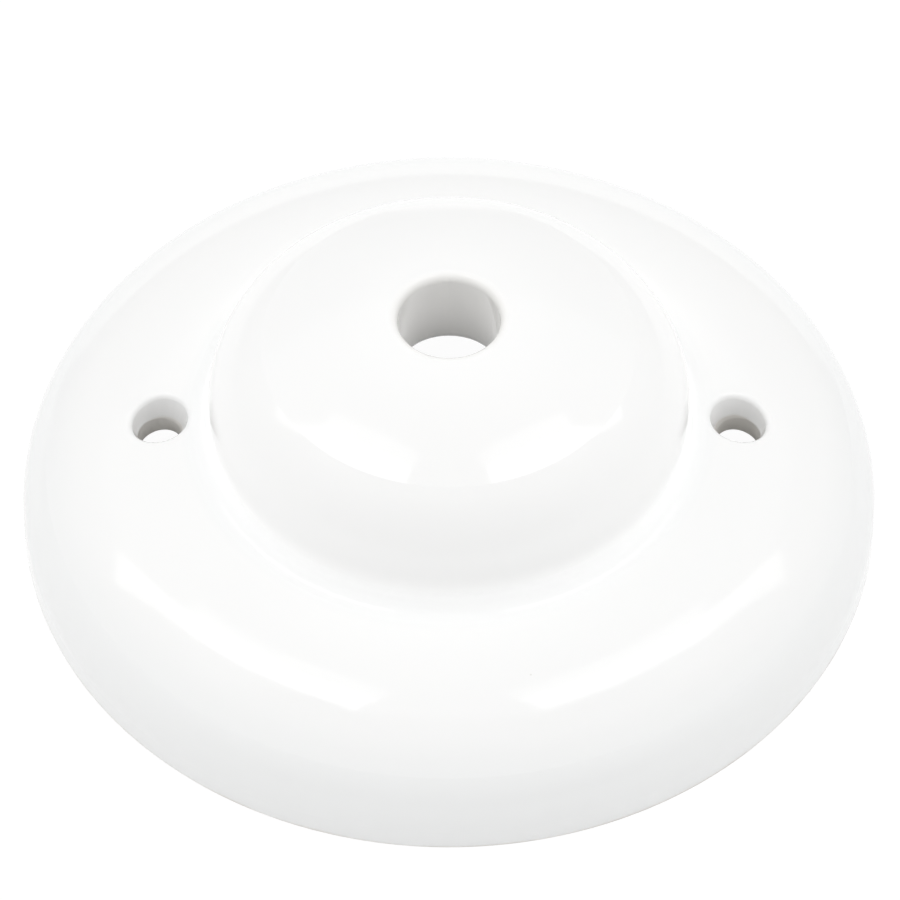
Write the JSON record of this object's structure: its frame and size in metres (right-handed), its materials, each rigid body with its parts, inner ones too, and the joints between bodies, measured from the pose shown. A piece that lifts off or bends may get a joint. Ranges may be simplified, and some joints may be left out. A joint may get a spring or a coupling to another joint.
{
  "type": "electrical ceiling rose",
  "caption": "Glazed porcelain ceiling rose body: a round hollow shell with a low dome in the middle, a bore for the flex in its crown and fixing screw holes in its shelf.",
  "frame": {"origin": "centre of the foot ring's face, where the rose meets the ceiling", "axes": "+Z along the bore from the foot ring to the dome, the screw holes in line along X, seen in the picture from -Y"},
  "size_m": [0.105, 0.105, 0.0341],
  "materials": {
    "porcelain": "white glaze, glossy"
  },
  "bodies": {
    "root": {"rose_body": "porcelain"}
  },
  "joints": []
}
